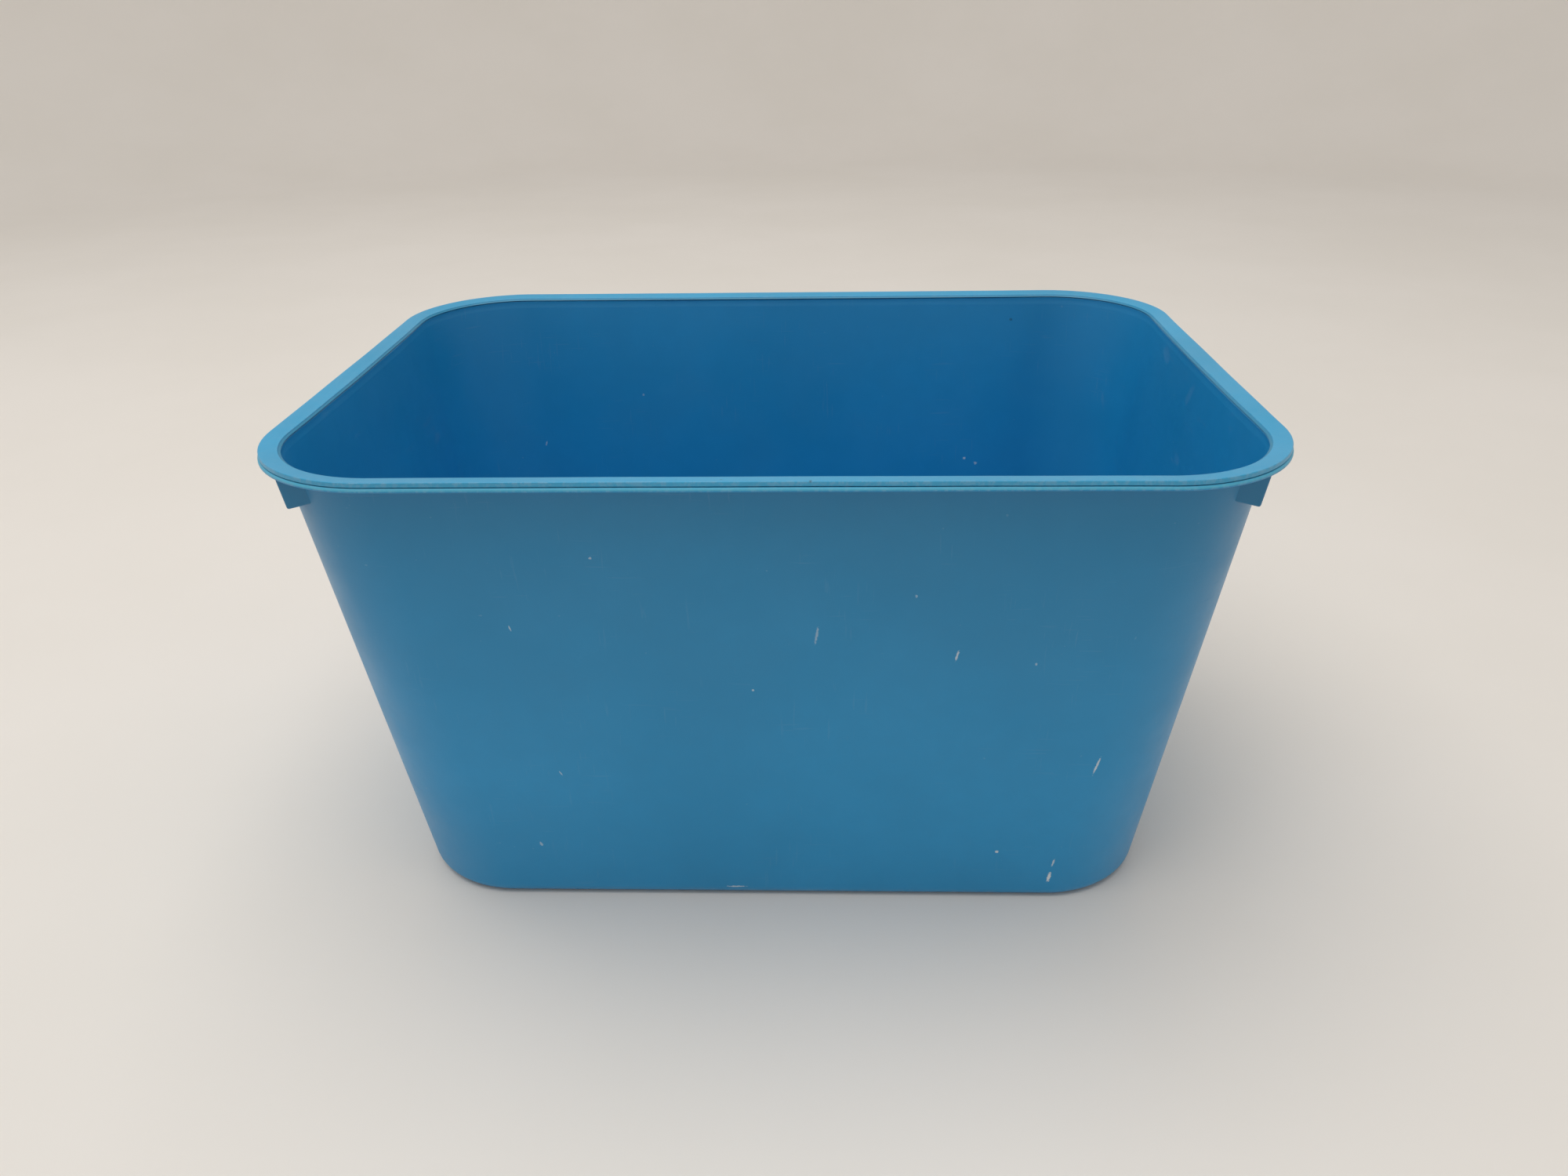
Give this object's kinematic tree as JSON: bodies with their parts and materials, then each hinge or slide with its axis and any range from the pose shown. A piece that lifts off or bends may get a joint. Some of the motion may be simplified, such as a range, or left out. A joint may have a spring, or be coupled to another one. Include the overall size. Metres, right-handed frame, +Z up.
{
  "type": "rectangular wastebasket",
  "caption": "Open rectangular wastebasket: a tapered plastic tub with rounded corners, a flange with stacking lugs, and a loose ring that lies on the flange.",
  "frame": {"origin": "middle of the face that the wastebasket stands on", "axes": "+X along the long side, +Y along the short side, +Z up out of the open mouth"},
  "size_m": [0.42, 0.3, 0.23],
  "materials": {
    "tub_plastic": "satin moulded polypropylene, mid blue",
    "ring_plastic": "satin moulded polypropylene, mid blue"
  },
  "bodies": {
    "tub": {"tub": "tub_plastic"},
    "rim_ring": {"rim_ring": "ring_plastic"}
  },
  "joints": [
    {"name": "rim_ring_lift", "type": "slide", "parent": "tub", "child": "rim_ring", "axis": [0, 0, 1], "range_m": [0, 0.08]}
  ]
}
